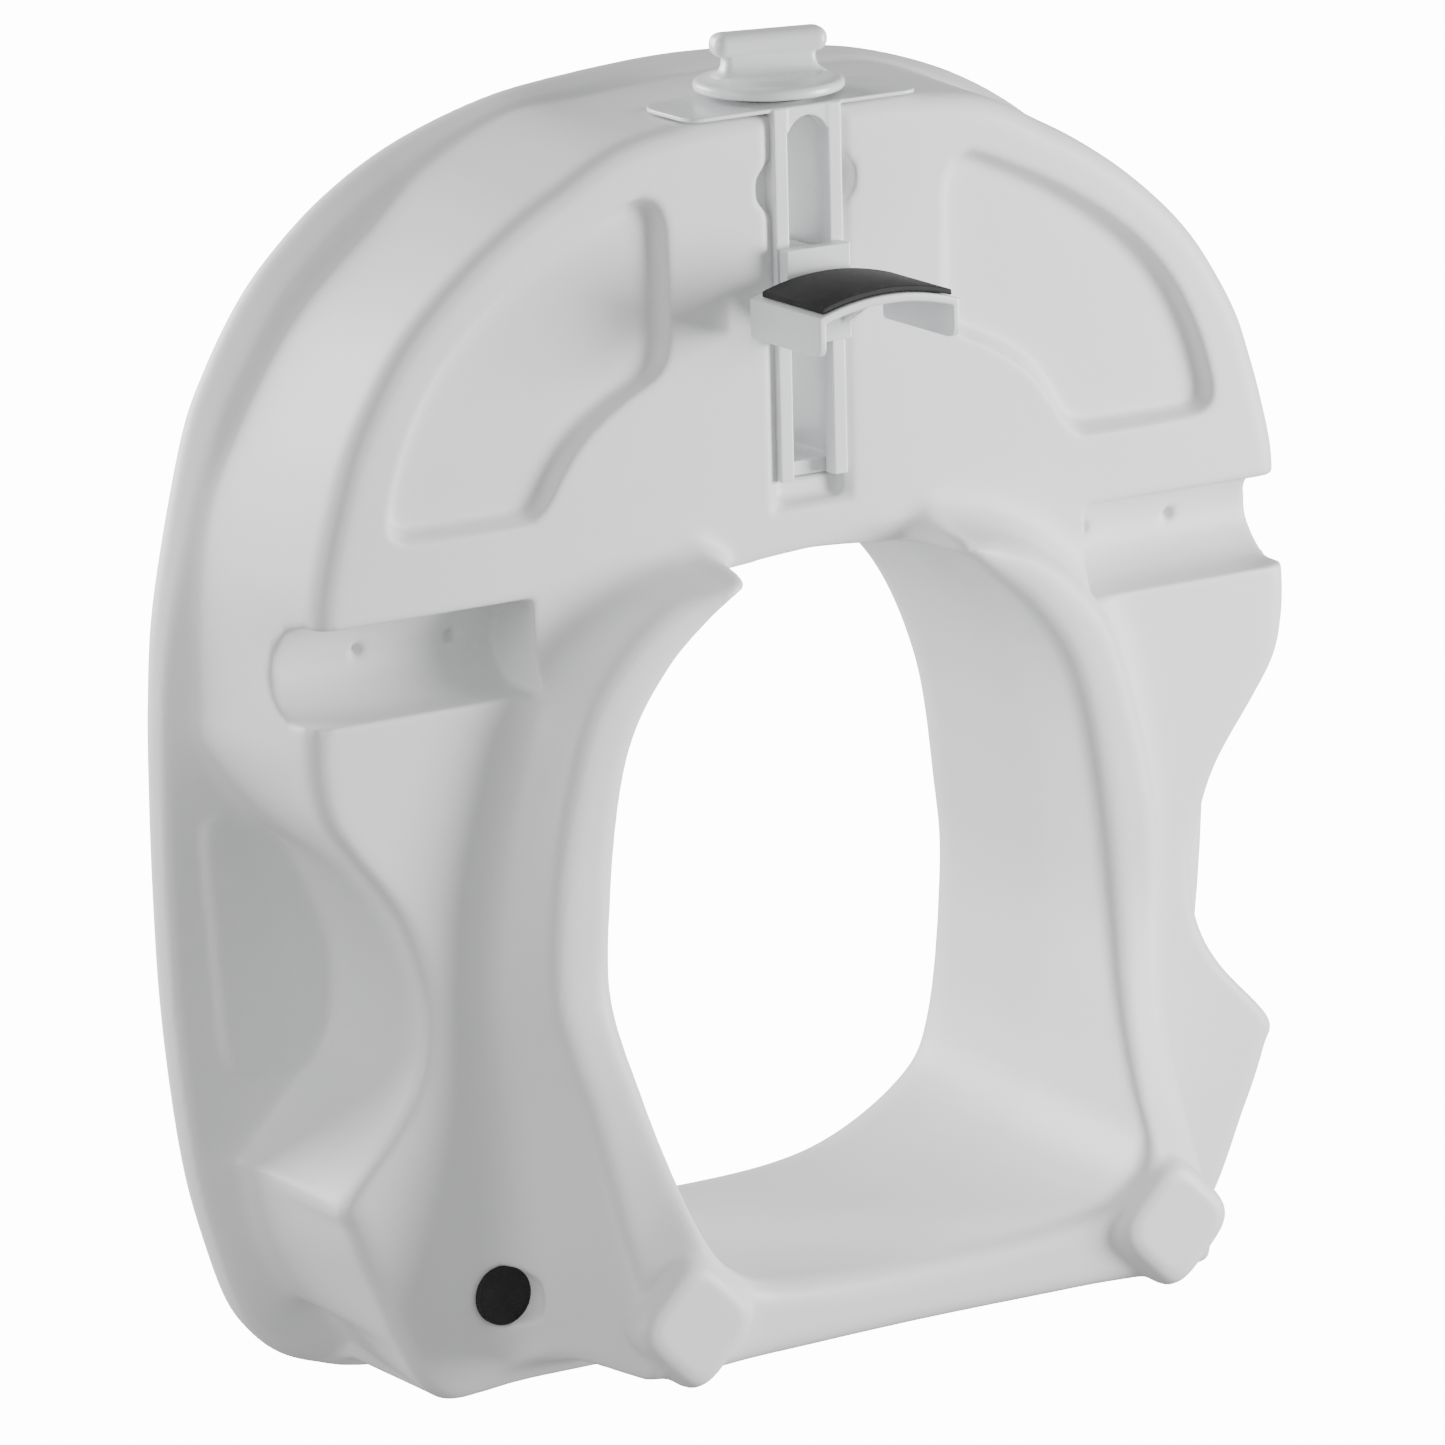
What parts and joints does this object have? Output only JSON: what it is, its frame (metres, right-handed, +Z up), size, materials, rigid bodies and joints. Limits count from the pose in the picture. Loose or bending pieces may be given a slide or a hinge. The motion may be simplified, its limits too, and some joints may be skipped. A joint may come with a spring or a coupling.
{
  "type": "raised toilet seat",
  "caption": "Raised toilet seat: hollow moulded ring with rolled flange, hand scallops, arm-tube grooves, open-fronted splash collar and a front knob that drives a sliding clamp jaw.",
  "frame": {"origin": "under the centre of the bounding box, level with the lowest point of the collar's rear feet", "axes": "+Z up to the sitting surface, -Y to the front where the knob is, +X to the left hand of a person sitting on it"},
  "size_m": [0.4142, 0.45, 0.167],
  "materials": {
    "shell": "satin moulded",
    "clamp_plastic": "semi-gloss moulded",
    "bearing_plastic": "satin",
    "spindle": "zinc plated",
    "rubber": "matte"
  },
  "bodies": {
    "seat": {"seat_shell": "shell", "guide_frame": "clamp_plastic", "tail_bush": "bearing_plastic", "bumper_left": "rubber", "bumper_right": "rubber"},
    "knob": {"clamp_knob": "clamp_plastic", "clamp_screw": "spindle", "thrust_washer": "bearing_plastic", "screw_clip": "spindle"},
    "jaw": {"clamp_jaw": "clamp_plastic", "travel_nut": "bearing_plastic", "jaw_pad": "rubber"}
  },
  "joints": [
    {"name": "knob_turn", "type": "hinge", "parent": "seat", "child": "knob", "pos_m": [0, -0.1999, 0.0915], "axis": [0, 1, 0], "range_deg": [-2700, 1800]},
    {"name": "jaw_slide", "type": "slide", "parent": "seat", "child": "jaw", "axis": [0, -1, 0], "range_m": [-0.045, 0.03]}
  ],
  "couplings": [
    {"joint": "jaw_slide", "follows": "knob_turn", "m_per_rad": 0.00095493}
  ]
}
